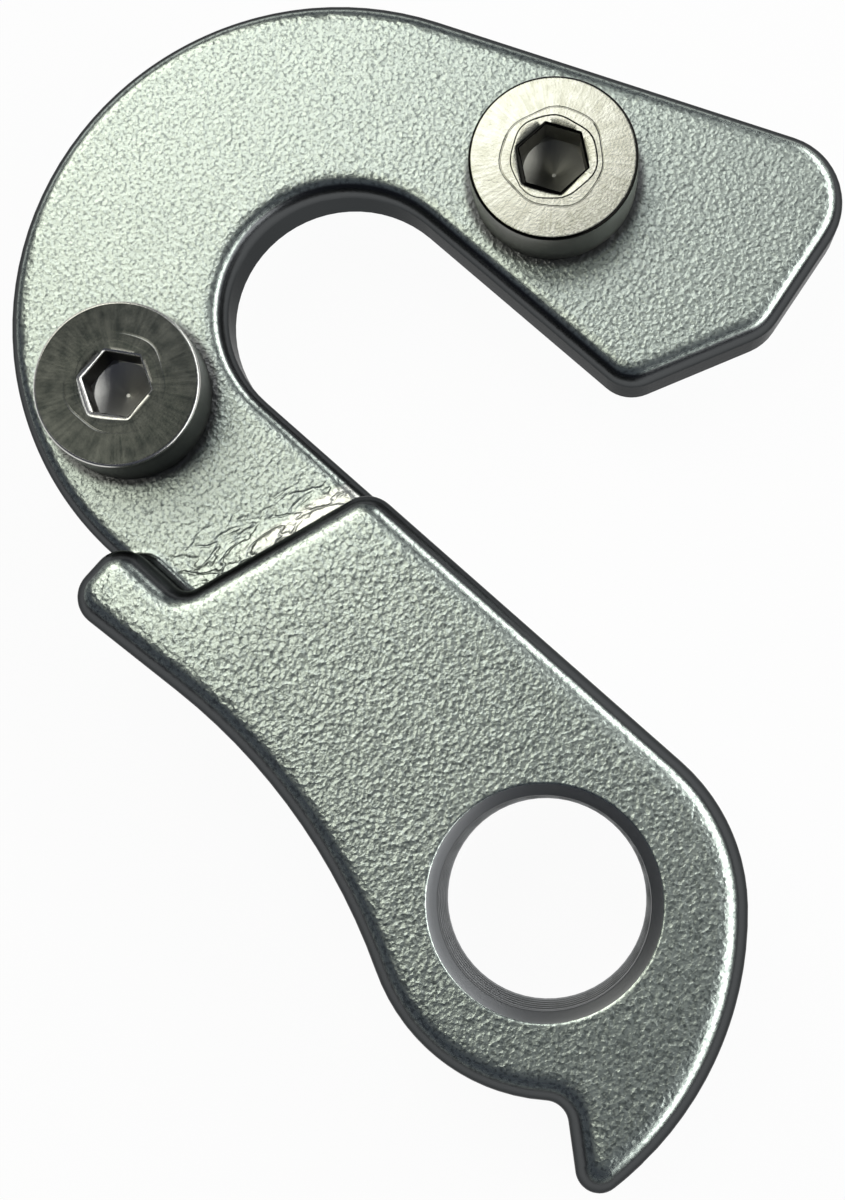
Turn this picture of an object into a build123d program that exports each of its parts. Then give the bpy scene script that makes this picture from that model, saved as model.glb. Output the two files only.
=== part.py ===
from build123d import *
import os
from math import atan2, cos, degrees, radians, sin, sqrt, tan

# Bicycle derailleur hanger with its two fixing screws, in millimetres and degrees.
# X runs forward, Y runs up along the axle slot, and Z points outboard, away from the wheel.
# The origin is on the derailleur bolt's axis, in the plane that seats on the frame's dropout.

# Axle slot: open at the bottom, with a round top centred on the axle
slot_width = 11.3
axle_rise = 25.0

# Hook: the round plate around the slot's closed end
hook_radius = 15.1
hook_shift_x = -0.65
hook_shift_y = 0.7
plate_thickness = 3.5

# Arm: the forward end of the hook, from its outer edge to its toe beside the slot
arm_lean_angle = 21.5
arm_heel_out = 6.4
arm_heel_drop = 15.5
arm_end_angle = 8.0
arm_toe_drop = 12.4
arm_end_radius = 3.3
arm_heel_radius = 2.4
arm_toe_radius = 1.8

# Block: the thick lower part, raised outboard of the seat plane
block_height = 3.8
boss_radius = 8.25
boss_shift_x = 0.2
boss_shift_y = -0.4
hollow_radius = 27.5

# Shoulder: the step that locates the dropout, from the slot's side to the notch
shoulder_drop = 7.2
shoulder_length = 9.1
shoulder_angle = 18.5
shoulder_corner_radius = 1.5
notch_radius = 0.9

# Nub: the finger that closes the notch on the rear side
nub_width = 3.85
nub_drop = 0.2
nub_lean_angle = 4.1
nub_corner_radius = 1.4
nub_cover = 0.35

# Tail: the stop for the derailleur's angle screw, curling under the boss
tail_radius = 14.9
tail_start_angle = -48.0
tail_flank_angle = 229.6
tail_flank_offset = 0.7
tail_tip_radius = 1.0
tail_root_radius = 1.0

# Edges: rounded outboard, broken by a small chamfer inboard, and a soft foot along the step
plate_edge_radius = 1.0
block_edge_radius = 1.35
back_edge_chamfer = 0.5
step_foot_radius = 0.6

# Derailleur bolt hole: M10 x 1, drawn at its crest diameter, with a chamfered mouth on each side
bolt_bore = 9.1
bolt_mouth = 10.3

# Fixing screws: M4, low heads with a hexagon socket, placed from the axle.
# They reach past the plate by the thickness of the dropout that they clamp.
arm_screw_x = 10.95
arm_screw_y = -3.3
arm_screw_angle = -6.6
hook_screw_x = -9.75
hook_screw_y = 4.7
hook_screw_angle = 1.5
screw_diameter = 4.0
dropout_thickness = 2.5
screw_tip_chamfer = 0.5
screw_head_diameter = 7.7
screw_head_height = 3.0
screw_head_chamfer = 0.15
socket_across_flats = 2.8
socket_depth = 1.7
socket_point_angle = 120.0
socket_mouth_diameter = 3.9
socket_mouth_depth = 0.1
thread_clearance = 0.05

# Places that follow from the sizes above
boss = Vector(boss_shift_x, boss_shift_y)
slot_rear = boss.X + boss_radius
slot_front = slot_rear + slot_width
axle = Vector(slot_rear + slot_width / 2, axle_rise)
hook_center = axle + Vector(hook_shift_x, hook_shift_y)
shoulder = Vector(slot_rear, axle.Y - shoulder_drop)
notch = shoulder + Vector(-shoulder_length, shoulder_length * tan(radians(shoulder_angle)))
arm_screw_place = axle + Vector(arm_screw_x, arm_screw_y)
hook_screw_place = axle + Vector(hook_screw_x, hook_screw_y)


def along(angle):
    """The unit vector at an angle from X, in the plane of the hanger."""
    return Vector(cos(radians(angle)), sin(radians(angle)))


def cross(a, b):
    """The signed area between two vectors in the plane of the hanger."""
    return a.X * b.Y - a.Y * b.X


def meet(p, p_angle, q, q_angle):
    """The point where two lines cross, each given by a point and an angle."""
    d, e = along(p_angle), along(q_angle)
    return p + d * (cross(q - p, e) / cross(d, e))


def bearing(point):
    """The angle of a vector from X, in degrees."""
    return degrees(atan2(point.Y, point.X))


def arc(center, radius, first, last):
    """An arc about a center from one point to another, the shorter way round."""
    start = bearing(first - center)
    turn = (bearing(last - center) - start + 180) % 360 - 180
    return CenterArc(center, radius, start, turn)


def rounded(sketch, corner, radius):
    """The sketch with its vertex at a corner rounded."""
    return fillet(sketch.vertices().sort_by_distance(corner)[0], radius)


def plate_outline():
    """The hook and its arm as seen from outboard, with a root that lies under the block."""
    arm_outer = hook_center + along(arm_lean_angle) * hook_radius
    toe = Vector(slot_front, axle.Y - arm_toe_drop)
    heel = Vector(slot_front + arm_heel_out, axle.Y - arm_heel_drop)
    end = meet(arm_outer, arm_lean_angle - 90, heel, arm_end_angle)
    inner = Vector(slot_front, axle.Y)
    arm = make_face(Polyline(arm_outer, end, heel, toe, inner, close=True))
    deep = Vector(0, -hook_radius)
    below_toe = make_face(Polyline(toe, heel, heel + deep, toe + deep, close=True))

    # The root stops inside the nub and the block, so that none of its own edge shows
    root_rear = slot_rear - shoulder_length - nub_width / 2
    root_top = axle.Y - nub_drop - nub_cover
    root_size = Vector(slot_rear - root_rear, root_top - boss_radius)
    root = Pos(root_rear, boss_radius) * Rectangle(root_size.X, root_size.Y, align=Align.MIN)

    slot_run = 2 * hook_radius
    slot = Pos(*axle) * Circle(slot_width / 2)
    slot += Pos(axle.X, axle.Y - slot_run / 2) * Rectangle(slot_width, slot_run)

    outline = Pos(*hook_center) * Circle(hook_radius) + arm + root - slot - below_toe
    outline = rounded(outline, end, arm_end_radius)
    outline = rounded(outline, heel, arm_heel_radius)
    return rounded(outline, toe, arm_toe_radius)


def block_outline():
    """The raised part as seen from outboard: shoulder, notch, nub, hollow, boss and tail."""
    nub_inner = Vector(notch.X, axle.Y - nub_drop)
    nub_outer = nub_inner - Vector(nub_width, 0)

    # The hollow touches the nub's rear flank and runs on to the boss, tangent to both
    flank = along(nub_lean_angle - 90)
    to_boss = boss - nub_outer
    boss_side = cross(flank, to_boss)
    reach = sqrt((hollow_radius + boss_radius) ** 2 - (hollow_radius + boss_side) ** 2)
    hollow_top = nub_outer + flank * (to_boss.dot(flank) - reach)
    hollow_center = hollow_top - along(nub_lean_angle) * hollow_radius
    hollow_low = boss + (hollow_center - boss).normalized() * boss_radius

    # The tail's back leaves the boss without a corner, and its flank is close to radial
    tail_center = boss + along(tail_start_angle) * (boss_radius - tail_radius)
    tail_start = boss + along(tail_start_angle) * boss_radius
    flank_foot = boss + along(tail_flank_angle - 90) * tail_flank_offset
    flank_run = along(tail_flank_angle)
    to_center = tail_center - flank_foot
    middle = to_center.dot(flank_run)
    tail_tip = flank_foot + flank_run * (
        middle + sqrt(tail_radius**2 - cross(flank_run, to_center) ** 2)
    )
    tail_root = flank_foot + flank_run * sqrt(boss_radius**2 - tail_flank_offset**2)

    side = Vector(slot_rear, boss.Y)
    outline = make_face(
        [
            Line(shoulder, side),
            arc(boss, boss_radius, side, tail_start),
            arc(tail_center, tail_radius, tail_start, tail_tip),
            Line(tail_tip, tail_root),
            arc(boss, boss_radius, tail_root, hollow_low),
            arc(hollow_center, hollow_radius, hollow_low, hollow_top),
            Line(hollow_top, nub_outer),
            Line(nub_outer, nub_inner),
            Line(nub_inner, notch),
            Line(notch, shoulder),
        ]
    )
    outline = rounded(outline, tail_tip, tail_tip_radius)
    outline = rounded(outline, tail_root, tail_root_radius)
    outline = rounded(outline, nub_outer, nub_corner_radius)
    outline = rounded(outline, nub_inner, nub_corner_radius)
    outline = rounded(outline, notch, notch_radius)
    return rounded(outline, shoulder, shoulder_corner_radius)


def soft_slab(outline, top, edge_radius):
    """An outline raised from the inboard face to a height, with rounded edges at its top."""
    slab = Pos(0, 0, -plate_thickness) * extrude(outline, plate_thickness + top)
    return fillet(slab.edges().group_by(Axis.Z)[-1], edge_radius)


def bolt_hole():
    """The space that the derailleur bolt takes up: a bore that opens out at both faces."""
    bore_radius, mouth_radius = bolt_bore / 2, bolt_mouth / 2
    depth = mouth_radius - bore_radius
    profile = Polyline(
        (0, -plate_thickness),
        (mouth_radius, -plate_thickness),
        (bore_radius, -plate_thickness + depth),
        (bore_radius, block_height - depth),
        (mouth_radius, block_height),
        (0, block_height),
        close=True,
    )
    return revolve(make_face(Plane.XZ * profile), Axis.Z)


def hanger_body():
    """The hanger: hook plate and raised block in one piece, with its three holes."""
    body = soft_slab(plate_outline(), 0, plate_edge_radius)
    body += soft_slab(block_outline(), block_height, block_edge_radius)

    # The soft foot runs along the shoulder and on around the notch to the nub
    foot = body.edges().sort_by_distance((shoulder + notch) / 2)[0]
    body = fillet(foot, step_foot_radius)
    body = chamfer(body.edges().group_by(Axis.Z)[0], back_edge_chamfer)

    body -= bolt_hole()
    screw_hole = Cylinder(screw_diameter / 2 + thread_clearance, 2 * plate_thickness)
    for place in (arm_screw_place, hook_screw_place):
        body -= Pos(*place) * screw_hole
    return body


def fixing_screw(place, turn):
    """A low-head screw seated on the plate at a place, with its socket turned by an angle."""
    shank, head = screw_diameter / 2, screw_head_diameter / 2
    top, tip = screw_head_height, -plate_thickness - dropout_thickness
    profile = Polyline(
        (0, tip),
        (shank - screw_tip_chamfer, tip),
        (shank, tip + screw_tip_chamfer),
        (shank, 0),
        (head, 0),
        (head, top - screw_head_chamfer),
        (head - screw_head_chamfer, top),
        (0, top),
        close=True,
    )
    screw = revolve(make_face(Plane.XZ * profile), Axis.Z)

    flat = socket_across_flats / 2
    hexagon = RegularPolygon(flat, 6, major_radius=False, rotation=turn)
    socket_floor = top - socket_depth
    screw -= Pos(0, 0, socket_floor) * extrude(hexagon, socket_depth)
    point_depth = flat / tan(radians(socket_point_angle / 2))
    down = (Align.CENTER, Align.CENTER, Align.MAX)
    screw -= Pos(0, 0, socket_floor) * Cone(0, flat, point_depth, align=down)
    mouth = Cone(flat, socket_mouth_diameter / 2, socket_mouth_depth, align=down)
    screw -= Pos(0, 0, top) * mouth
    return Pos(*place) * screw


nodes = {
    "hanger_body": hanger_body(),
    "arm_screw": fixing_screw(arm_screw_place, arm_screw_angle),
    "hook_screw": fixing_screw(hook_screw_place, hook_screw_angle),
}
os.makedirs("parts", exist_ok=True)
for name, shape in nodes.items():
    export_step(shape, f"parts/{name}.step")
    print(name, round(shape.volume, 1), shape.bounding_box())
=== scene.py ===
import logging
import math
from dataclasses import dataclass
from enum import Enum
from typing import Any, Callable

import bmesh
import bpy
from bmesh.types import BMesh, BMVert
from bpy.types import Material, Mesh, Node, NodeSocket, NodeTree, Object
from mathutils import Matrix, Vector


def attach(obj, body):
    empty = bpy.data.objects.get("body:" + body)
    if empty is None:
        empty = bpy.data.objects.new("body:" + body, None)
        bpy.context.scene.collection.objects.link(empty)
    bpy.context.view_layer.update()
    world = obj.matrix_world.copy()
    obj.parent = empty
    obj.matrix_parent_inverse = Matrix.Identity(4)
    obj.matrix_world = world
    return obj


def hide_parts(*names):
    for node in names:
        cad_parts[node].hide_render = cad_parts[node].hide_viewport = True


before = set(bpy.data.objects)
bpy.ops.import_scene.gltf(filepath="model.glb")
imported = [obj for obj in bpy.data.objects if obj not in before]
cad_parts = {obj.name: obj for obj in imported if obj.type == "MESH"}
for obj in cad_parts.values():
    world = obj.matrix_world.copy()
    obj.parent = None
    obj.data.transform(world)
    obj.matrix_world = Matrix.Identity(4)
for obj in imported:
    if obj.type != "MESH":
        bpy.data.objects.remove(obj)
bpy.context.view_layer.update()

# Looks of a bicycle derailleur hanger with its two fixing screws.
# Sizes are in millimetres in the part's frame, and meshes are made in metres.

BODY = "root"
MM = 0.001

# Height of the block's face over the plate, and the places of the screws' axes
BLOCK_TOP = 3.8
ARM_SCREW_PLACE = (25.05, 21.7)
HOOK_SCREW_PLACE = (4.35, 29.7)

# Noise textures run from 0 to 1, and most of their values lie in this span about the middle
NOISE_MIDDLE = 0.5
NOISE_SPAN = 0.5

# Settings of a Map Range node that eases in and out, and of a Mix node that mixes colours,
# with the places of that node's colour sockets: its two inputs, and its output
SOFT = {"interpolation_type": "SMOOTHSTEP"}
COLOUR = {"data_type": "RGBA"}
FIRST, SECOND, MIXED = 6, 7, 2

# The radius and height, in millimetres, of each point of a ring about an axis
Ring = list[tuple[float, float]]

log = logging.getLogger("hanger")


def srgb(code: str) -> tuple[float, float, float, float]:
    """Turns an sRGB hex colour into linear values.

    Args:
        code: The colour as #rrggbb.

    Returns:
        Linear red, green, blue, and an alpha of one.
    """
    parts = [int(code[i:i + 2], 16) / 255 for i in (1, 3, 5)]
    red, green, blue = (
        c / 12.92 if c <= 0.04045 else ((c + 0.055) / 1.055) ** 2.4 for c in parts
    )
    return red, green, blue, 1.0


def per_mm(size: float) -> float:
    """Gives the texture scale whose features are a size in millimetres apart."""
    return 1 / (size * MM)


def add_node(
    tree: NodeTree,
    kind: str,
    settings: dict[str | int, Any] | None = None,
    links: dict[str | int, Node | NodeSocket] | None = None,
) -> Node:
    """Adds a node with its settings and links.

    Args:
        tree: The node tree that gets the node.
        kind: The node's type, without the ShaderNode that its name starts with.
        settings: Values by the name of a property, or by the name or place of an input.
        links: What feeds each input, by the input's name or place: an output socket, or a
            node, which gives its first output.

    Returns:
        The node.
    """
    node = tree.nodes.new("ShaderNode" + kind)
    for key, value in (settings or {}).items():
        if isinstance(key, str) and hasattr(node, key):
            setattr(node, key, value)
        else:
            node.inputs[key].default_value = value
    for key, source in (links or {}).items():
        socket = source.outputs[0] if isinstance(source, Node) else source
        tree.links.new(socket, node.inputs[key])
    return node


def new_material(name: str) -> tuple[Material, NodeTree]:
    """Makes an empty node material.

    Args:
        name: The material's name.

    Returns:
        The material and its node tree.
    """
    material = bpy.data.materials.new(name)
    material.use_nodes = True
    material.node_tree.nodes.clear()
    return material, material.node_tree


@dataclass(frozen=True)
class BlastedAluminium:
    """Anodised aluminium, forged, tumbled and bead blasted.

    The blasted faces scatter light in a coarse silver grain and the tumbled edges are
    smoother.
    The sawn and forged flanks and the steep part of the rounded edges are drawn in a darker
    slate colour with less glancing sheen, which is painted shade.
    """

    name: str = "anodised_aluminium_bead_blasted"
    face: str = "#ced8ce"
    face_shade: str = "#c0cbc2"
    # Darker slate colour of the flanks, which is painted shade
    painted_flank_shade: str = "#525455"
    face_roughness: float = 0.38
    edge_roughness: float = 0.27
    # Slope of the surface, as the upright part of its normal, where flank turns into face
    flank_slope: float = 0.77
    face_slope: float = 0.87
    # Share of its glancing sheen that a flank keeps, lowered as painted shade
    flank_sheen: float = 0.35
    # Slopes between which the tumbling has worn the grain away, and the share that is left
    smooth_slope: float = 0.93
    grain_slope: float = 0.995
    edge_grain: float = 0.12
    # Dents left by the beads, drawn about twice as coarse as real ones to show
    grain_mm: float = 0.2
    grain_height_mm: float = 0.026
    # Uneven ground under the dents
    ground_mm: float = 0.27
    ground_height_mm: float = 0.028
    ground_detail: float = 2.0
    # Share of the block's grain that the coined plate has, and how high the block stands
    plate_grain: float = 0.7
    block_mm: float = BLOCK_TOP
    # Share of the grain left on the worn boss, and where along Y the wear starts and ends
    boss_grain: float = 0.68
    boss_from_mm: float = 5.0
    boss_to_mm: float = -6.0
    # Uneven tone of the anodised layer
    cloud_mm: float = 3.5
    cloud_detail: float = 3.0
    # Dark pits: their spacing, and the range of the noise from pit to face
    pit: str = "#98a19b"
    pit_mm: float = 0.17
    pit_detail: float = 1.0
    pit_from: float = 0.36
    pit_to: float = 0.5
    # Creases that the forging die leaves beside the step, and how far they reach
    crease_length_mm: float = 2.0
    crease_width_mm: float = 0.85
    crease_height_mm: float = 0.05
    crease_reach_mm: float = 3.8
    crease_detail: float = 2.5
    crease_bend: float = 0.4
    # Where the creases end: heights over the plate, and places along the step
    crease_low_mm: float = 0.1
    crease_high_mm: float = 0.4
    crease_rear_mm: float = 2.0
    crease_front_mm: float = 3.0
    # Cracks along the middle of the creases: their width as a share of the noise, and depth
    crack_share: float = 0.07
    crack_depth_mm: float = 0.07
    # Height that the plate swells to at the foot of the step
    swell_mm: float = 0.06
    # Soft fall of the block's face towards the step: where it starts, how softly, how steep
    fall_from_mm: float = -2.4
    fall_soft_mm: float = 3.0
    fall_slope: float = 0.095
    # Lip of metal squeezed up along the foot of the step, with a ragged edge
    lip_from_mm: float = 1.7
    lip_to_mm: float = 0.5
    lip_height_mm: float = 0.28
    lip_ragged_mm: float = 0.7
    # Strip along the front half of the lip, drawn lighter: partly bare metal where the
    # anodised layer is torn off, partly painted highlight
    bare_and_highlight: str = "#e9ece2"
    bare_and_highlight_from_mm: float = 1.45
    bare_and_highlight_to_mm: float = 1.15
    bare_and_highlight_rear_mm: float = -7.0
    bare_and_highlight_front_mm: float = -4.5
    # Painted contact shadow round the screw heads: the radii where it is darkest and where it
    # ends
    seat_shadow: str = "#6c6e6d"
    seat_shadow_from_mm: float = 4.0
    seat_shadow_to_mm: float = 4.4

    def material(self, step_place: Vector, step_angle: float, seats: list[Vector]) -> Material:
        """Makes the material.

        Args:
            step_place: A point on the step between plate and block, in millimetres.
            step_angle: The step's direction in the plane of the plate, in degrees.
            seats: The middles of the screws' seats, in millimetres.

        Returns:
            The material.
        """
        material, tree = new_material(self.name)
        coords = add_node(tree, "TexCoord")
        place = coords.outputs["Object"]
        normal = add_node(tree, "SeparateXYZ", links={0: coords.outputs["Normal"]})
        upright = add_node(tree, "Math", {"operation": "ABSOLUTE"}, {0: normal.outputs["Z"]})
        facing = add_node(
            tree, "MapRange",
            SOFT | {"From Min": self.flank_slope, "From Max": self.face_slope},
            {"Value": upright},
        )
        height, bare_and_lit = self.relief(tree, place, step_place, step_angle)
        # Lighter strip along the lip: partly bare metal, partly painted highlight
        face = add_node(
            tree, "Mix", COLOUR | {SECOND: srgb(self.bare_and_highlight)},
            {"Factor": bare_and_lit, FIRST: self.paint(tree, place, seats)},
        )
        # Painted shade: the flanks get the darker colour by their slope
        colour = add_node(
            tree, "Mix", COLOUR | {FIRST: srgb(self.painted_flank_shade)},
            {"Factor": facing, SECOND: face.outputs[MIXED]},
        )
        roughness = add_node(
            tree, "MapRange",
            {
                "From Min": self.smooth_slope, "From Max": self.grain_slope,
                "To Min": self.edge_roughness, "To Max": self.face_roughness,
            },
            {"Value": upright},
        )
        sheen = add_node(tree, "MapRange", {"To Min": self.flank_sheen}, {"Value": facing})
        grained = add_node(
            tree, "MapRange",
            SOFT | {
                "From Min": self.smooth_slope, "From Max": self.grain_slope,
                "To Min": self.edge_grain,
            },
            {"Value": upright},
        )
        bump = add_node(
            tree, "Bump", {"Distance": 1.0}, {"Height": height, "Strength": grained}
        )
        shader = add_node(
            tree, "BsdfPrincipled", {"Metallic": 1.0},
            {
                "Base Color": colour.outputs[MIXED], "Specular Tint": sheen,
                "Roughness": roughness, "Normal": bump,
            },
        )
        add_node(tree, "OutputMaterial", links={"Surface": shader})
        return material

    def paint(self, tree: NodeTree, place: NodeSocket, seats: list[Vector]) -> NodeSocket:
        """Adds the uneven tone of the faces, their pits and the painted shadow round the
        screws.

        Args:
            tree: The material's node tree.
            place: The socket that gives the place on the body, in metres.
            seats: The middles of the screws' seats, in millimetres.

        Returns:
            The socket that gives the colour.
        """
        cloud = add_node(
            tree, "TexNoise",
            {"Scale": per_mm(self.cloud_mm), "Detail": self.cloud_detail}, {"Vector": place},
        )
        face = add_node(
            tree, "Mix",
            COLOUR | {FIRST: srgb(self.face_shade), SECOND: srgb(self.face)},
            {"Factor": cloud},
        )
        pits = add_node(
            tree, "TexNoise",
            {"Scale": per_mm(self.pit_mm), "Detail": self.pit_detail}, {"Vector": place},
        )
        whole = add_node(
            tree, "MapRange", {"From Min": self.pit_from, "From Max": self.pit_to},
            {"Value": pits},
        )
        face = add_node(
            tree, "Mix", COLOUR | {FIRST: srgb(self.pit)},
            {"Factor": whole, SECOND: face.outputs[MIXED]},
        )
        # Painted shadow: the face darkens towards each screw's seat, standing in for the
        # screw's contact shadow
        for seat in seats:
            away = add_node(
                tree, "VectorMath", {"operation": "DISTANCE", 1: seat * MM}, {0: place}
            )
            unshadowed = add_node(
                tree, "MapRange",
                SOFT | {
                    "From Min": self.seat_shadow_from_mm * MM, "From Max": self.seat_shadow_to_mm * MM,
                },
                {"Value": away.outputs["Value"]},
            )
            face = add_node(
                tree, "Mix", COLOUR | {FIRST: srgb(self.seat_shadow)},
                {"Factor": unshadowed, SECOND: face.outputs[MIXED]},
            )
        return face.outputs[MIXED]

    def grain(self, tree: NodeTree, place: NodeSocket) -> Node:
        """Adds the blasted grain, which is softer on the plate and on the boss.

        Args:
            tree: The material's node tree.
            place: The socket that gives the place on the body, in metres.

        Returns:
            The node that gives the grain's height, in metres.
        """
        # Overlapping round dents: the square of the distance to the nearest middle is a bowl
        dents = add_node(
            tree, "TexVoronoi", {"Scale": per_mm(self.grain_mm)}, {"Vector": place}
        )
        bowls = add_node(tree, "Math", {"operation": "MULTIPLY"}, {0: dents, 1: dents})
        ground = add_node(
            tree, "TexNoise",
            {"Scale": per_mm(self.ground_mm), "Detail": self.ground_detail}, {"Vector": place},
        )
        ground_share = self.ground_height_mm / self.grain_height_mm / NOISE_SPAN
        uneven = add_node(
            tree, "Math", {"operation": "MULTIPLY_ADD", 1: ground_share},
            {0: ground, 2: bowls},
        )
        level = add_node(tree, "SeparateXYZ", links={0: place})
        full = self.grain_height_mm * MM
        coarse = add_node(
            tree, "MapRange",
            {
                "From Max": self.block_mm * MM,
                "To Min": full * self.plate_grain, "To Max": full,
            },
            {"Value": level.outputs["Z"]},
        )
        boss = add_node(
            tree, "MapRange",
            {
                "From Min": self.boss_to_mm * MM, "From Max": self.boss_from_mm * MM,
                "To Min": self.boss_grain,
            },
            {"Value": level.outputs["Y"]},
        )
        worn = add_node(tree, "Math", {"operation": "MULTIPLY"}, {0: coarse, 1: boss})
        return add_node(tree, "Math", {"operation": "MULTIPLY"}, {0: uneven, 1: worn})

    def relief(
        self, tree: NodeTree, place: NodeSocket, step_place: Vector, step_angle: float
    ) -> tuple[Node, Node]:
        """Adds the grain, and the creases, the ragged lip with its lighter strip and the soft
        fall at the step.

        Args:
            tree: The material's node tree.
            place: The socket that gives the place on the body, in metres.
            step_place: A point on the step, in millimetres.
            step_angle: The step's direction, in degrees.

        Returns:
            The nodes that give the height of the surface, in metres, and the share of the
            surface in the lighter strip, which is partly torn bare and partly painted
            highlight.
        """
        # Millimetres along the step, across it towards the plate, and up from the plate
        beside = add_node(
            tree, "Mapping",
            {
                "vector_type": "TEXTURE",
                "Location": step_place * MM,
                "Rotation": (0.0, 0.0, math.radians(step_angle)),
                "Scale": (MM, MM, MM),
            },
            {"Vector": place},
        )
        step = add_node(tree, "SeparateXYZ", links={0: beside})
        crease_full = self.crease_height_mm / NOISE_SPAN
        near = add_node(
            tree, "MapRange",
            SOFT | {
                "From Min": self.crease_reach_mm, "From Max": 0.0,
                "To Max": crease_full * MM,
            },
            {"Value": step.outputs["Y"]},
        )
        stretch = (1 / self.crease_length_mm, 1 / self.crease_width_mm, 1.0)
        stretched = add_node(
            tree, "VectorMath", {"operation": "MULTIPLY", 1: stretch}, {0: beside}
        )
        crease = add_node(
            tree, "TexNoise",
            {"Scale": 1.0, "Detail": self.crease_detail, "Distortion": self.crease_bend},
            {"Vector": stretched},
        )
        # The raised block and the arm across the slot have none of these creases, and the
        # lighter strip of bare metal and painted highlight ends part of the way along the step
        low, rear, front = (
            add_node(
                tree, "MapRange", {"From Min": start, "From Max": end},
                {"Value": step.outputs[axis]},
            )
            for axis, start, end in (
                ("Z", self.crease_high_mm, self.crease_low_mm),
                ("X", self.crease_front_mm, self.crease_rear_mm),
                ("X", self.bare_and_highlight_rear_mm, self.bare_and_highlight_front_mm),
            )
        )
        here = add_node(tree, "Math", {"operation": "MULTIPLY"}, {0: rear, 1: low})
        crease_here = add_node(tree, "Math", {"operation": "MULTIPLY"}, {0: near, 1: here})
        # Folding the noise over at its middle gives a ridge there, which becomes a crack
        ridge = add_node(
            tree, "Math", {"operation": "PINGPONG", 1: NOISE_MIDDLE}, {0: crease}
        )
        crack = add_node(
            tree, "MapRange",
            SOFT | {
                "From Min": NOISE_MIDDLE - self.crack_share, "From Max": NOISE_MIDDLE,
                "To Min": self.swell_mm / crease_full,
                "To Max": (self.swell_mm - self.crack_depth_mm) / crease_full,
            },
            {"Value": ridge},
        )
        cracked = add_node(tree, "Math", {"operation": "ADD"}, {0: crack, 1: crease})
        creased = add_node(
            tree, "Math", {"operation": "MULTIPLY_ADD"},
            {0: cracked, 1: crease_here, 2: self.grain(tree, place)},
        )
        # The same noise makes the edges of the lip and of the lighter strip ragged
        ragged = add_node(
            tree, "Math", {"operation": "MULTIPLY_ADD", 1: self.lip_ragged_mm},
            {0: crease, 2: step.outputs["Y"]},
        )
        shift = self.lip_ragged_mm * NOISE_MIDDLE
        lip = add_node(
            tree, "MapRange",
            SOFT | {
                "From Min": self.lip_from_mm + shift, "From Max": self.lip_to_mm + shift,
                "To Max": self.lip_height_mm * MM,
            },
            {"Value": ragged},
        )
        lipped = add_node(
            tree, "Math", {"operation": "MULTIPLY_ADD"}, {0: lip, 1: here, 2: creased}
        )
        fall = add_node(
            tree, "Math",
            {"operation": "SMOOTH_MAX", 1: self.fall_from_mm, 2: self.fall_soft_mm},
            {0: step.outputs["Y"]},
        )
        tilt = add_node(
            tree, "MapRange",
            {
                "From Min": self.block_mm / 2, "From Max": self.block_mm,
                "To Max": -self.fall_slope * MM,
            },
            {"Value": step.outputs["Z"]},
        )
        height = add_node(
            tree, "Math", {"operation": "MULTIPLY_ADD"}, {0: fall, 1: tilt, 2: lipped}
        )
        edge = add_node(
            tree, "MapRange",
            SOFT | {
                "From Min": self.bare_and_highlight_from_mm + shift, "From Max": self.bare_and_highlight_to_mm + shift,
            },
            {"Value": ragged},
        )
        strip = add_node(tree, "Math", {"operation": "MULTIPLY"}, {0: edge, 1: front})
        bare_and_lit = add_node(tree, "Math", {"operation": "MULTIPLY"}, {0: strip, 1: here})
        return height, bare_and_lit


@dataclass(frozen=True)
class TurnedAluminium:
    """Aluminium turned and tapped after anodising.

    The cutter leaves a blue-grey gleam with fine rings round the bore.
    """

    name: str = "aluminium_turned_and_tapped"
    metal: str = "#87898a"
    roughness: float = 0.5
    # Rings left by the cutter: their spacing, their length round the bore and their height
    ring_mm: float = 0.06
    ring_length_mm: float = 2.0
    ring_height_mm: float = 0.0012

    def material(self) -> Material:
        """Makes the material, for a bore whose axis is Z.

        Returns:
            The material.
        """
        material, tree = new_material(self.name)
        coords = add_node(tree, "TexCoord")
        along, across = per_mm(self.ring_length_mm), per_mm(self.ring_mm)
        squeezed = add_node(
            tree, "VectorMath", {"operation": "MULTIPLY", 1: (along, along, across)},
            {0: coords.outputs["Object"]},
        )
        rings = add_node(tree, "TexNoise", {"Scale": 1.0}, {"Vector": squeezed})
        ring_full = self.ring_height_mm * MM / NOISE_SPAN
        height = add_node(tree, "Math", {"operation": "MULTIPLY", 1: ring_full}, {0: rings})
        bump = add_node(tree, "Bump", {"Distance": 1.0}, {"Height": height})
        shader = add_node(
            tree, "BsdfPrincipled",
            {"Metallic": 1.0, "Base Color": srgb(self.metal), "Roughness": self.roughness},
            {"Normal": bump},
        )
        add_node(tree, "OutputMaterial", links={"Surface": shader})
        return material


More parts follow.
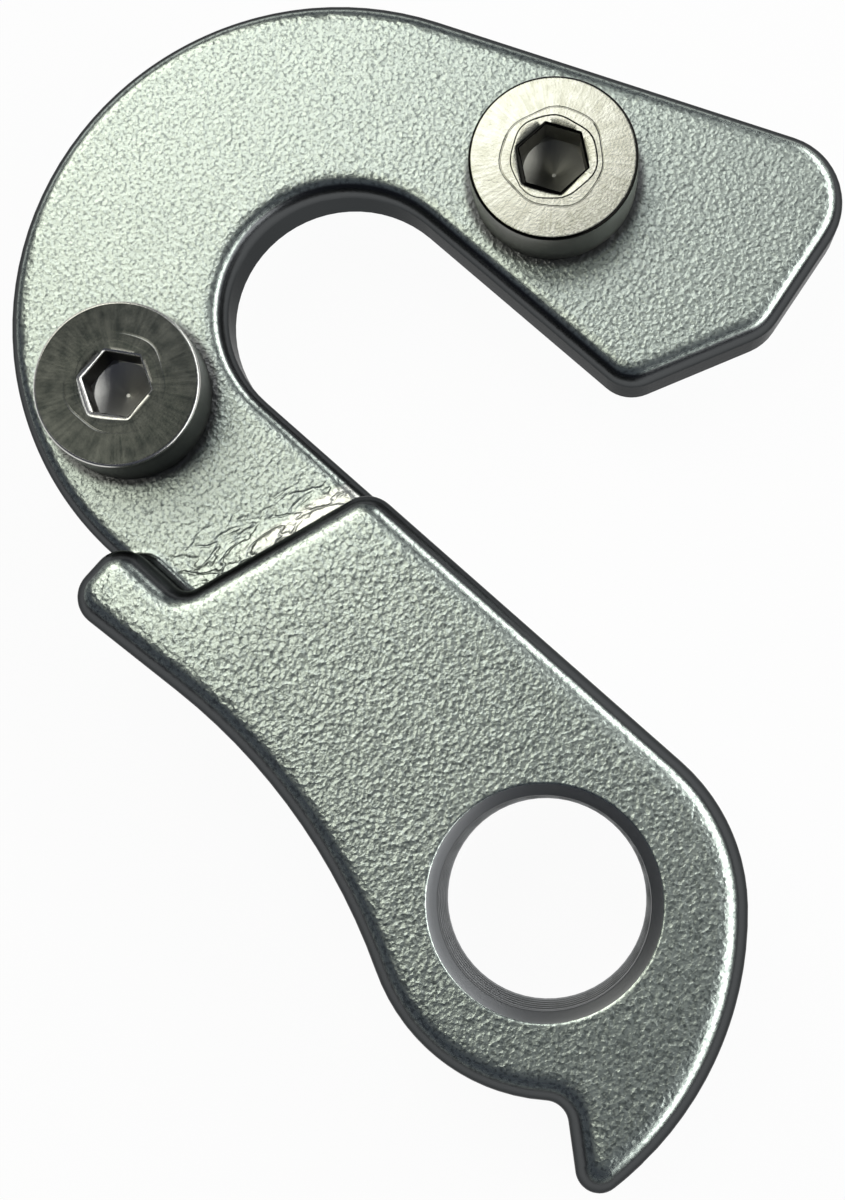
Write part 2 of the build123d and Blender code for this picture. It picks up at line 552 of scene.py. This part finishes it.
@dataclass(frozen=True)
class PlatedSteel:
    """Cold headed steel screw, zinc plated.

    The punched face has fine radial streaks and a soft sheen, and the wall, the socket and
    the thread are drawn darker than the face.
    """

    name: str
    face: str
    face_streak: str
    # Rounded edges of the head and the socket, and the floor of the socket
    rim: str
    floor: str
    # Wall of the socket, which lies inside this radius
    socket: str
    socket_mm: float = 1.75
    # Height under which what faces up is the floor of the socket
    floor_level_mm: float = 2.2
    wall: str = "#787973"
    face_roughness: float = 0.27
    wall_roughness: float = 0.42
    floor_roughness: float = 0.42
    # Slopes, as the upright part of the normal, from wall to rounded edge and on to face
    wall_slope: float = 0.05
    edge_slope: float = 0.35
    rim_slope: float = 0.965
    face_slope: float = 0.992
    # Blotches in the plating, and their share of the tone beside the streaks
    blotch_mm: float = 0.6
    blotch_detail: float = 4.0
    blotch_share: float = 0.62
    # Range of the streaks and blotches that runs from one tone to the other
    tone_from: float = 0.36
    tone_to: float = 0.64
    # Radial streaks of the punch, whose width is measured at this radius
    streak_mm: float = 0.17
    streak_detail: float = 2.0
    streak_height_mm: float = 0.0016
    streak_radius_mm: float = 3.0
    # Slow drift for each metre outward, which keeps the streaks from being dead straight
    streak_drift: float = 12.0
    # Fine grain of the plating
    grain_mm: float = 0.12
    grain_detail: float = 2.0
    grain_height_mm: float = 0.0025

    def material(self) -> Material:
        """Makes the material, for a screw whose own Z axis is its axis.

        Returns:
            The material.
        """
        material, tree = new_material(self.name)
        coords = add_node(tree, "TexCoord")
        place = coords.outputs["Object"]
        normal = add_node(tree, "SeparateXYZ", links={0: coords.outputs["Normal"]})
        facing, upright = (
            add_node(
                tree, "MapRange",
                SOFT | {"From Min": low, "From Max": high},
                {"Value": normal.outputs["Z"]},
            )
            for low, high in (
                (self.rim_slope, self.face_slope), (self.wall_slope, self.edge_slope)
            )
        )
        level = add_node(tree, "SeparateXYZ", links={0: place})
        deep = add_node(
            tree, "Math", {"operation": "LESS_THAN", 1: self.floor_level_mm * MM},
            {0: level.outputs["Z"]},
        )
        flat = add_node(
            tree, "VectorMath", {"operation": "MULTIPLY", 1: (1.0, 1.0, 0.0)}, {0: place}
        )
        outward = add_node(tree, "VectorMath", {"operation": "NORMALIZE"}, {0: flat})
        drift = add_node(
            tree, "VectorMath", {"operation": "MULTIPLY_ADD", 1: [self.streak_drift] * 3},
            {0: flat, 2: outward},
        )
        streak = add_node(
            tree, "TexNoise",
            {"Scale": self.streak_radius_mm / self.streak_mm, "Detail": self.streak_detail},
            {"Vector": drift},
        )
        grain, blotch = (
            add_node(
                tree, "TexNoise", {"Scale": per_mm(size), "Detail": detail}, {"Vector": place}
            )
            for size, detail in (
                (self.grain_mm, self.grain_detail), (self.blotch_mm, self.blotch_detail)
            )
        )
        both = add_node(
            tree, "Mix", {"Factor": self.blotch_share}, {"A": streak, "B": blotch}
        )
        tone = add_node(
            tree, "MapRange", {"From Min": self.tone_from, "From Max": self.tone_to},
            {"Value": both},
        )
        face = add_node(
            tree, "Mix",
            COLOUR | {FIRST: srgb(self.face_streak), SECOND: srgb(self.face)},
            {"Factor": tone},
        )
        rimmed = add_node(
            tree, "Mix", COLOUR | {FIRST: srgb(self.rim)},
            {"Factor": facing, SECOND: face.outputs[MIXED]},
        )
        floored = add_node(
            tree, "Mix", COLOUR | {SECOND: srgb(self.floor)},
            {"Factor": deep, FIRST: rimmed.outputs[MIXED]},
        )
        out = add_node(tree, "VectorMath", {"operation": "LENGTH"}, {0: flat})
        inside = add_node(
            tree, "Math", {"operation": "LESS_THAN", 1: self.socket_mm * MM},
            {0: out.outputs["Value"]},
        )
        wall = add_node(
            tree, "Mix",
            COLOUR | {FIRST: srgb(self.wall), SECOND: srgb(self.socket)},
            {"Factor": inside},
        )
        colour = add_node(
            tree, "Mix", COLOUR,
            {"Factor": upright, FIRST: wall.outputs[MIXED], SECOND: floored.outputs[MIXED]},
        )
        smooth = add_node(
            tree, "MapRange", {"To Min": self.wall_roughness, "To Max": self.face_roughness},
            {"Value": upright},
        )
        floor = add_node(tree, "Math", {"operation": "MULTIPLY"}, {0: deep, 1: upright})
        floor_more = self.floor_roughness - self.face_roughness
        roughness = add_node(
            tree, "Math", {"operation": "MULTIPLY_ADD", 1: floor_more}, {0: floor, 2: smooth}
        )
        grain_full = self.grain_height_mm * MM / NOISE_SPAN
        grained = add_node(tree, "Math", {"operation": "MULTIPLY", 1: grain_full}, {0: grain})
        streak_full = self.streak_height_mm * MM / NOISE_SPAN
        height = add_node(
            tree, "Math", {"operation": "MULTIPLY_ADD", 1: streak_full},
            {0: streak, 2: grained},
        )
        bump = add_node(tree, "Bump", {"Distance": 1.0}, {"Height": height})
        shader = add_node(
            tree, "BsdfPrincipled", {"Metallic": 1.0},
            {"Base Color": colour.outputs[MIXED], "Roughness": roughness, "Normal": bump},
        )
        add_node(tree, "OutputMaterial", links={"Surface": shader})
        return material


class ScrewTone(Enum):
    """The two tones of the fixing screws: one bright, and one a shaded copy whose darker face,
    socket and wall are painted shade.
    """

    # The bright screw's rounded edges are drawn nearly black, a painted dark reflection
    BRIGHT = PlatedSteel(
        "zinc_plated_steel_bright", face="#c8c8ba", face_streak="#b0b09f",
        rim="#161614", floor="#8e8e86", socket="#9b9b94",
    )
    # Shaded copy of the plated steel: its dark face, socket and wall are painted shade
    SHADED = PlatedSteel(
        "zinc_plated_steel_shaded", face="#4a4c48", face_streak="#2e312f",
        rim="#d8d8d2", floor="#d2d2cc", socket="#33332f", wall="#50524e",
    )


@dataclass(frozen=True)
class Thread:
    """A screw thread as a depth that goes round and round an axis."""

    pitch: float
    depth: float
    # Shares of the pitch that the flat crest and the flat root take up
    crest_share: float = 0.16
    root_share: float = 0.22

    def cut(self, angle: float, z: float) -> float:
        """Gives the depth of the thread under its crest.

        Args:
            angle: The angle round the axis, in radians.
            z: The place along the axis, in millimetres.

        Returns:
            The depth, in millimetres, from zero to the full depth.
        """
        phase = (z / self.pitch - angle / math.tau) % 1
        away = abs(phase - 0.5) * 2
        run = 1 - self.crest_share - self.root_share
        return self.depth * min(1.0, max(0.0, (1 - away - self.crest_share) / run))


def add_ring(bm: BMesh, angles: list[float], ring: Ring) -> list[BMVert]:
    """Adds a ring of vertices about the Z axis.

    Args:
        bm: The mesh, in metres.
        angles: The angle of each column of points, in radians.
        ring: The radius and height of each column.

    Returns:
        The vertices.
    """
    return [
        bm.verts.new((r * math.cos(a) * MM, r * math.sin(a) * MM, z * MM))
        for a, (r, z) in zip(angles, ring)
    ]


def polar_mesh(name: str, angles: list[float], rings: list[Ring]) -> Mesh:
    """Makes a mesh of rings about the Z axis, closed by a point on the axis at each end.

    Args:
        name: The mesh's name.
        angles: The angle of each column of points, in radians.
        rings: The rings, in order.

    Returns:
        The mesh, in metres.
    """
    bm = bmesh.new()
    rows = [add_ring(bm, angles, ring) for ring in rings]
    count = len(angles)
    for low, high in zip(rows, rows[1:]):
        for i in range(count):
            j = (i + 1) % count
            bm.faces.new((low[i], low[j], high[j], high[i]))
    for row, ring in ((rows[0], rings[0]), (rows[-1], rings[-1])):
        tip = bm.verts.new((0, 0, ring[0][1] * MM))
        for i in range(count):
            bm.faces.new((row[(i + 1) % count], row[i], tip))
    bmesh.ops.recalc_face_normals(bm, faces=bm.faces)
    mesh = bpy.data.meshes.new(name)
    bm.to_mesh(mesh)
    bm.free()
    return mesh


@dataclass
class HangerBody:
    """The hanger itself: the CAD body, with the derailleur bolt's thread cut in its bore."""

    node: str = "hanger_body"
    piece: str = "hanger_body_tapped"
    slot: str = "hanger_aluminium"
    mouth_radius: float = 5.15
    bore_radius: float = 4.55
    back: float = -3.5
    front: float = BLOCK_TOP
    thread: Thread = Thread(pitch=1.0, depth=0.45)
    # Depths below each face between which the thread grows to its full height
    thread_from: float = 0.6
    thread_full: float = 1.5
    ring_step: float = 0.05
    # Roundness of the mouth's edge, and the depths of the rings that show it
    mouth_round: float = 0.15
    mouth_depths: tuple[float, ...] = (0.003, 0.01, 0.02, 0.035)
    # A point on the step between plate and block, and the step's direction
    step_place: tuple[float, float] = (8.45, 17.8)
    step_angle: float = -18.5
    seats: tuple[tuple[float, float], ...] = (ARM_SCREW_PLACE, HOOK_SCREW_PLACE)
    # Distance within which points of the CAD mesh are one
    weld: float = 0.001
    finish: BlastedAluminium = BlastedAluminium()
    bore_finish: TurnedAluminium = TurnedAluminium()

    def build(self) -> Object:
        """Builds the body and puts it in place of its CAD node.

        Returns:
            The body's object.
        """
        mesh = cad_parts[self.node].data.copy()
        mesh.name = self.piece
        mesh.materials.clear()
        kept = mesh.attributes.new("kept_normal", "FLOAT_VECTOR", "CORNER")
        for corner, value in zip(kept.data, mesh.corner_normals):
            corner.vector = value.vector
        bm = bmesh.new()
        bm.from_mesh(mesh)
        bmesh.ops.remove_doubles(bm, verts=bm.verts, dist=self.weld * MM)
        self.tap(bm)
        bm.to_mesh(mesh)
        bm.free()

        # The flat and round faces keep the CAD's own normals, and the thread gets new ones
        kept = mesh.attributes["kept_normal"]
        normals = [Vector(corner.vector) for corner in kept.data]
        mesh.attributes.remove(kept)
        mesh.normals_split_custom_set(normals)
        body = bpy.data.objects.new(self.piece, mesh)
        bpy.context.scene.collection.objects.link(body)
        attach(body, BODY)
        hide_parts(self.node)
        return body

    def tap(self, bm: BMesh) -> None:
        """Cuts the thread in place of the smooth bore and its chamfers.

        Args:
            bm: The body's mesh, in metres.
        """
        reach = (self.mouth_radius + self.weld) * MM
        smooth = [f for f in bm.faces if all(v.co.xy.length < reach for v in f.verts)]
        bmesh.ops.delete(bm, geom=smooth, context="FACES")
        rim = [v for v in bm.verts if v.is_boundary]
        middle = (self.back + self.front) / 2 * MM
        front_rim = sorted((v for v in rim if v.co.z > middle), key=self.angle_of)
        back_rim = sorted((v for v in rim if v.co.z < middle), key=self.angle_of)
        angles = [self.angle_of(v) for v in front_rim]

        thickness = self.front - self.back
        steps = round(thickness / self.ring_step)
        heights = [self.back + thickness * step / steps for step in range(1, steps)]
        heights += [self.back + d for d in self.mouth_depths]
        heights += [self.front - d for d in self.mouth_depths]
        rows = [back_rim]
        for z in sorted(heights):
            rows.append(add_ring(bm, angles, [(self.radius_at(a, z), z) for a in angles]))
        rows.append(front_rim)
        # The rounded edge of the mouth belongs to the face, and the rest to the bore
        edge = (self.front - max(self.mouth_depths) - self.weld) * MM
        count = len(angles)
        for low, high in zip(rows, rows[1:]):
            for i in range(count):
                j = (i + 1) % count
                wall = bm.faces.new((low[j], low[i], high[i], high[j]))
                wall.smooth = True
                wall.material_index = 0 if min(v.co.z for v in wall.verts) > edge else 1
        for row in (back_rim, front_rim):
            for i in range(count):
                bm.edges.get((row[i], row[(i + 1) % count])).smooth = False

    @staticmethod
    def angle_of(vert: BMVert) -> float:
        """Gives the angle of a vertex round the bore."""
        return math.atan2(vert.co.y, vert.co.x)

    def radius_at(self, angle: float, z: float) -> float:
        """Gives the radius of the tapped bore.

        Args:
            angle: The angle round the bore, in radians.
            z: The height, in millimetres.

        Returns:
            The radius, in millimetres.
        """
        depth = min(z - self.back, self.front - z)
        chamfer = self.mouth_radius - math.sqrt(depth * (depth + 2 * self.mouth_round))
        grown = (depth - self.thread_from) / (self.thread_full - self.thread_from)
        cut = self.thread.cut(angle, z) * min(1.0, max(0.0, grown))
        return max(chamfer, self.bore_radius + cut)

    def dress(self, body: Object) -> None:
        """Gives the body its finish.

        Args:
            body: The body's object.
        """
        step, *seats = (Vector((*xy, 0.0)) for xy in (self.step_place, *self.seats))
        body.data.materials.append(self.finish.material(step, self.step_angle, seats))
        body.data.materials.append(self.bore_finish.material())


@dataclass
class FixingScrew:
    """A low-head M4 screw with a hexagon socket, seated on the plate."""

    node: str
    piece: str
    place: tuple[float, float]
    turn: float
    tone: ScrewTone
    slot: str = "screw_steel"
    head_radius: float = 3.85
    head_height: float = 3.0
    head_chamfer: float = 0.15
    seat_chamfer: float = 0.1
    # How much lower the rim of the face is than its middle
    dome: float = 0.04
    # Rings of the head: on its face, short of its rim, round its rim by degrees, on its wall
    face_radii: tuple[float, ...] = (2.75, 3.2)
    rim_gap: float = 0.05
    rim_turns: tuple[float, ...] = (0, 10, 25, 45, 65, 90)
    wall_heights: tuple[float, ...] = (2.2, 1.4, 0.7)
    across_flats: float = 2.8
    socket_depth: float = 1.7
    point_angle: float = 120.0
    # Rings of the socket: shares of its floor, and room below and above those on its wall
    floor_shares: tuple[float, ...] = (0.06, 0.2, 0.45, 0.7, 0.9, 1.0)
    wall_foot: float = 0.05
    wall_head: float = 0.11
    # Broken edge of the hexagon, and its steps as shares of its width and its depth
    edge_break: float = 0.12
    edge_steps: tuple[tuple[float, float], ...] = (
        (0.0, 1.0), (0.12, 0.65), (0.5, 0.25), (1.0, 0.0)
    )
    # The side of the hexagon that the key has worn, and how much wider and deeper its edge is
    worn_bearing: float = 185.0
    worn_width: float = 0.2
    worn_depth: float = 0.06
    # The low metal round the hexagon: its rim follows the punch's ring by a share, turned by
    # an angle in radians, and keeps a gap from the broken edge
    mouth_radius: float = 1.95
    mouth_depth: float = 0.03
    mouth_dip: float = 0.01
    mouth_gap: float = 0.08
    mouth_share: float = 0.8
    mouth_turn: float = 1.0
    mouth_steps: tuple[float, float] = (0.03, 0.05)
    # The ring that the heading punch leaves round the socket, which fades in and out
    ring_radius: float = 2.32
    ring_width: float = 0.045
    ring_depth: float = 0.03
    ring_wobble: float = 0.11
    ring_fade: float = 0.6
    ring_phase: float = -6.6
    # The ring's waves: how many go round, their phase in radians, and their share
    ring_waves: tuple[tuple[int, float, float], ...] = ((3, 0.8, 1.0), (7, 2.1, 0.6))
    # The ring's profile: widths away from its middle, and shares of its depth
    ring_steps: tuple[tuple[float, float], ...] = (
        (-1.6, 0.0), (-1.0, 0.0), (-0.3, 1.0), (0.3, 1.0), (1.0, 0.0), (1.6, 0.0)
    )
    shank_radius: float = 2.0
    tip: float = -6.0
    tip_chamfer: float = 0.5
    thread: Thread = Thread(pitch=0.7, depth=0.42)
    columns: int = 96
    ring_step: float = 0.05
    sharp_angle: float = 28.0

    def build(self) -> Object:
        """Builds the screw and puts it in place of its CAD node.

        Returns:
            The screw's object.
        """
        head = self.socket_rings() + self.head_rings()
        rings = [[self.domed(*point) for point in ring] for ring in head]
        mesh = polar_mesh(self.piece, self.angles(), rings + self.shank_rings())
        mesh.polygons.foreach_set("use_smooth", [True] * len(mesh.polygons))
        mesh.set_sharp_from_angle(angle=math.radians(self.sharp_angle))
        screw = bpy.data.objects.new(self.piece, mesh)
        screw.matrix_world = Matrix.Translation(Vector((*self.place, 0.0)) * MM) @ (
            Matrix.Rotation(math.radians(self.turn), 4, "Z")
        )
        bpy.context.scene.collection.objects.link(screw)
        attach(screw, BODY)
        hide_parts(self.node)
        return screw

    def angles(self) -> list[float]:
        """Gives the angle of each column of points, in radians."""
        return [math.tau * i / self.columns for i in range(self.columns)]

    def ring(self, shape: Callable[[float], tuple[float, float]]) -> Ring:
        """Gives a ring whose radius and height follow the angle."""
        return [shape(a) for a in self.angles()]

    def domed(self, radius: float, z: float) -> tuple[float, float]:
        """Gives the place of a point of the head when its face is slightly domed."""
        share = (radius / self.head_radius) ** 2 * z / self.head_height
        return radius, z - self.dome * share

    def hexagon(self, angle: float) -> float:
        """Gives the radius of the hexagon at an angle from one of its corners."""
        sector = math.radians(60)
        return self.across_flats / 2 / math.cos(angle % sector - sector / 2)

    def edge_width(self, angle: float) -> float:
        """Gives the width of the hexagon's broken edge, wider on the worn side."""
        return self.edge_break + self.worn_width * self.worn(angle)

    def worn(self, angle: float) -> float:
        """Gives how worn the hexagon's edge is at an angle, from not at all to one."""
        return max(0.0, math.cos(angle - math.radians(self.worn_bearing - self.turn)))

    def mouth_at(self, angle: float) -> float:
        """Gives the radius of the low metal round the hexagon, which isn't quite round."""
        least = self.hexagon(angle) + self.edge_width(angle) + self.mouth_gap
        return max(
            least, self.mouth_radius + self.mouth_share * self.wobble(angle + self.mouth_turn)
        )

    def wobble(self, angle: float) -> float:
        """Gives how far the punch's ring is out of round at an angle, in millimetres."""
        waves = (share * math.sin(n * angle + phase) for n, phase, share in self.ring_waves)
        return self.ring_wobble * sum(waves) / sum(share for *_, share in self.ring_waves)

    def ring_strength(self, angle: float) -> float:
        """Gives how deep the punch's ring is at an angle, from shallow to full."""
        return 1 - self.ring_fade * (1 - math.sin(2 * angle + self.ring_phase)) / 2

    def socket_rings(self) -> list[Ring]:
        """Gives the rings of the socket, from the middle of its floor to its mouth.

        Returns:
            The rings, in order.
        """
        top, flat = self.head_height, self.across_flats / 2
        floor = top - self.socket_depth
        fall = 1 / math.tan(math.radians(self.point_angle / 2))
        rings = [
            self.ring(lambda a, r=flat * share: (r, floor - (flat - r) * fall))
            for share in self.floor_shares
        ]
        edge = top - self.mouth_depth - self.edge_break
        for z in (floor, floor + self.wall_foot, (floor + edge) / 2, edge - self.wall_head):
            rings.append(self.ring(lambda a, h=z: (self.hexagon(a), h)))
        # The hexagon's corner is broken all round, and the metal round it sits a little low
        low = edge + self.edge_break
        for out, down in self.edge_steps:
            rings.append(self.ring(lambda a, o=out, d=down: (
                self.hexagon(a) + self.edge_width(a) * o,
                low - (self.edge_break + self.worn_depth * self.worn(a)) * d,
            )))
        near, far = self.mouth_steps
        for out, z in (
            (-far, low), (-near, low), (0.0, low - self.mouth_dip), (near, top), (far, top)
        ):
            rings.append(self.ring(lambda a, o=out, h=z: (self.mouth_at(a) + o, h)))
        return rings

    def head_rings(self) -> list[Ring]:
        """Gives the rings of the head, from the socket's mouth over the rim to the seat.

        Returns:
            The rings, in order.
        """
        top, out = self.head_height, self.head_radius
        rings = []
        for side, down in self.ring_steps:
            rings.append(self.ring(lambda a, s=side, d=down: (
                self.ring_radius + self.wobble(a) + s * self.ring_width,
                top - d * self.ring_depth * self.ring_strength(a),
            )))
        face_end = out - self.head_chamfer
        for radius in (*self.face_radii, face_end - self.rim_gap):
            rings.append(self.ring(lambda a, r=radius: (r, top)))
        for turn in self.rim_turns:
            rings.append(self.ring(lambda a, t=math.radians(turn): (
                face_end + self.head_chamfer * math.sin(t),
                top - self.head_chamfer * (1 - math.cos(t)),
            )))
        for z in (*self.wall_heights, self.seat_chamfer):
            rings.append(self.ring(lambda a, h=z: (out, h)))
        rings.append(self.ring(lambda a: (out - self.seat_chamfer, 0.0)))
        return rings

    def shank_rings(self) -> list[Ring]:
        """Gives the rings of the threaded shank, from the seat to the tip.

        Returns:
            The rings, in order.
        """
        rings = [self.ring(lambda a: (self.shank_radius, 0.0))]
        steps = round(-self.tip / self.ring_step)
        for step in range(1, steps + 1):
            z = self.tip * step / steps
            room = self.shank_radius - max(0.0, self.tip_chamfer - (z - self.tip))
            rings.append(self.ring(lambda a, h=z, most=room: (
                min(most, self.shank_radius - self.thread.cut(a, h)), h
            )))
        return rings

    def dress(self, screw: Object) -> None:
        """Gives the screw its finish."""
        screw.data.materials.append(self.tone.value.material())


@dataclass(frozen=True)
class SoftBox:
    """A studio lamp with an even face."""

    name: str
    # Direction as seen from the hanger: round from X, and down from straight overhead
    bearing: float
    tilt: float
    distance_mm: float
    width_mm: float
    height_mm: float
    radiance: float
    colour: str = "#ffffff"

    def add(self, target: Vector) -> None:
        """Adds the lamp, aimed at a point.

        Args:
            target: The point, in metres.
        """
        around, down = math.radians(self.bearing), math.radians(self.tilt)
        away = Vector((
            math.cos(around) * math.sin(down),
            math.sin(around) * math.sin(down),
            math.cos(down),
        ))
        lamp = bpy.data.lights.new(self.name, "AREA")
        lamp.shape = "RECTANGLE"
        lamp.size, lamp.size_y = self.width_mm * MM, self.height_mm * MM
        lamp.energy = self.radiance * math.pi * lamp.size * lamp.size_y
        lamp.color = srgb(self.colour)[:3]
        box = bpy.data.objects.new(self.name, lamp)
        box.location = target + away * self.distance_mm * MM
        box.rotation_euler = away.to_track_quat("Z", "Y").to_euler()
        bpy.context.scene.collection.objects.link(box)


@dataclass
class Studio:
    """The white table, the lamps, the dim room and the camera."""

    target_mm: tuple[float, float, float] = (13.5, 15.0, 0.0)
    floor_radius_mm: float = 2500.0
    floor_sides: int = 96
    floor_colour: str = "#f4f4f4"
    # Share of plain white in the table as it is seen, beside the paint that takes the shadow
    floor_white: float = 0.95
    # The body meets the table at least this far from the line through the screw tips
    foot_reach_mm: float = 5.0
    # The room overhead and at the horizon, and the upright parts of a ray where one turns
    # into the other
    sky: str = "#40434e"
    sky_rise: float = 0.1
    horizon: str = "#ffffff"
    horizon_rise: float = 0.04
    lamps: tuple[SoftBox, ...] = (
        SoftBox("key_softbox", 118.0, 23.0, 300.0, 110.0, 100.0, 2.9, "#fffdf0"),
        SoftBox("back_softbox", 80.0, 50.0, 260.0, 150.0, 120.0, 3.0, "#fffdf2"),
        SoftBox("top_card", 51.0, 27.0, 300.0, 100.0, 90.0, 3.15),
        SoftBox("side_softbox", -43.0, 54.0, 240.0, 620.0, 85.0, 3.8),
    )
    # Camera: place, axes and lens that give the photograph's view
    eye_mm: tuple[float, float, float] = (3.11, 0.77, 85.56)
    right: tuple[float, float, float] = (0.6673, -0.7404, -0.0815)
    back: tuple[float, float, float] = (-0.0373, -0.1425, 0.9891)
    lens: float = 57.0
    sensor: float = 36.0
    near_mm: float = 2.0

    def table(self, screws: list[FixingScrew]) -> None:
        """Adds the white table that the hanger rests on, on its screw tips and its tail.

        Args:
            screws: The two screws.
        """
        first, second = (Vector((*s.place, s.tip)) * MM for s in screws)
        along = (second - first).normalized()
        across = along.cross(Vector((0, 0, 1))).normalized()
        if (Vector(self.target_mm) * MM - first).dot(across) < 0:
            across.negate()
        corners = [v.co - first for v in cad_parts[HangerBody.node].data.vertices]
        slope = min(
            c.z / c.dot(across) for c in corners if c.dot(across) > self.foot_reach_mm * MM
        )
        up = (Vector((0, 0, 1)) - across * slope).normalized()
        tip_edge = (screws[0].shank_radius - screws[0].tip_chamfer) * MM
        foot = first - Vector((0, 0, slope * tip_edge))

        bm = bmesh.new()
        bmesh.ops.create_circle(
            bm, cap_ends=True, segments=self.floor_sides, radius=self.floor_radius_mm * MM
        )
        mesh = bpy.data.meshes.new("white_table")
        bm.to_mesh(mesh)
        bm.free()
        floor = bpy.data.objects.new("white_table", mesh)
        floor.location = foot
        floor.rotation_euler = up.to_track_quat("Z", "Y").to_euler()
        bpy.context.scene.collection.objects.link(floor)
        mesh.materials.append(self.table_paint())

    def table_paint(self) -> Material:
        """Makes the table's matt white paint, which stays white and keeps a soft shadow.

        Returns:
            The material.
        """
        material, tree = new_material("matt_white_paint")
        path = add_node(tree, "LightPath")
        seen = add_node(
            tree, "Math", {"operation": "MAXIMUM"},
            {0: path.outputs["Is Camera Ray"], 1: path.outputs["Is Glossy Ray"]},
        )
        shown = add_node(
            tree, "Math", {"operation": "MAXIMUM"},
            {0: seen, 1: path.outputs["Is Transmission Ray"]},
        )
        share = add_node(
            tree, "Math", {"operation": "MULTIPLY", 1: self.floor_white}, {0: shown}
        )
        paint = add_node(tree, "BsdfDiffuse", {"Color": srgb(self.floor_colour)})
        glow = add_node(tree, "Emission", {"Strength": 1.0})
        mixed = add_node(tree, "MixShader", links={0: share, 1: paint, 2: glow})
        # From below the table isn't there, so that the hanger's back can be seen
        side = add_node(tree, "NewGeometry")
        clear = add_node(tree, "BsdfTransparent")
        sided = add_node(
            tree, "MixShader", links={0: side.outputs["Backfacing"], 1: mixed, 2: clear}
        )
        add_node(tree, "OutputMaterial", links={"Surface": sided})
        return material

    def room(self) -> None:
        """Makes the room: dim overhead, and white towards the horizon."""
        world = bpy.data.worlds.new("studio_room")
        world.use_nodes = True
        tree = world.node_tree
        tree.nodes.clear()
        coords = add_node(tree, "TexCoord")
        ray = add_node(tree, "SeparateXYZ", links={0: coords.outputs["Generated"]})
        low = add_node(
            tree, "MapRange", {"From Min": self.sky_rise, "From Max": self.horizon_rise},
            {"Value": ray.outputs["Z"]},
        )
        colour = add_node(
            tree, "Mix",
            COLOUR | {FIRST: srgb(self.sky), SECOND: srgb(self.horizon)},
            {"Factor": low},
        )
        light = add_node(tree, "Background", links={"Color": colour.outputs[MIXED]})
        add_node(tree, "OutputWorld", links={"Surface": light})
        bpy.context.scene.world = world

    def camera(self) -> None:
        """Adds the camera."""
        data = bpy.data.cameras.new("photo_camera")
        data.lens = self.lens
        data.sensor_width = self.sensor
        data.clip_start = self.near_mm * MM
        data.dof.use_dof = False
        back = Vector(self.back).normalized()
        up = back.cross(Vector(self.right)).normalized()
        right = up.cross(back)
        turn = Matrix((right, up, back)).transposed().to_4x4()
        eye = bpy.data.objects.new("photo_camera", data)
        eye.matrix_world = Matrix.Translation(Vector(self.eye_mm) * MM) @ turn
        bpy.context.scene.collection.objects.link(eye)
        bpy.context.scene.camera = eye

    def build(self, screws: list[FixingScrew]) -> None:
        """Builds the studio.

        Args:
            screws: The two screws, whose tips touch the table.
        """
        bpy.context.scene.view_settings.view_transform = "Standard"
        self.camera()
        self.table(screws)
        self.room()
        for lamp in self.lamps:
            lamp.add(Vector(self.target_mm) * MM)


def main() -> None:
    """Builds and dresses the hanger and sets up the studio."""
    logging.basicConfig(level=logging.INFO, format="%(name)s: %(message)s")
    screws = [
        FixingScrew(
            "arm_screw", "arm_screw_threaded", ARM_SCREW_PLACE, turn=-6.6,
            tone=ScrewTone.BRIGHT,
        ),
        FixingScrew(
            "hook_screw", "hook_screw_threaded", HOOK_SCREW_PLACE, turn=1.5,
            tone=ScrewTone.SHADED, mouth_depth=0.004, mouth_dip=0.004,
            ring_depth=0.013, ring_fade=0.97, ring_phase=1.5,
            worn_width=0.24, worn_depth=0.1, worn_bearing=172.0,
        ),
    ]
    for part in (HangerBody(), *screws):
        piece = part.build()
        part.dress(piece)
        log.info("%s: %d faces", piece.name, len(piece.data.polygons))
    Studio().build(screws)


if __name__ == "__main__":
    main()
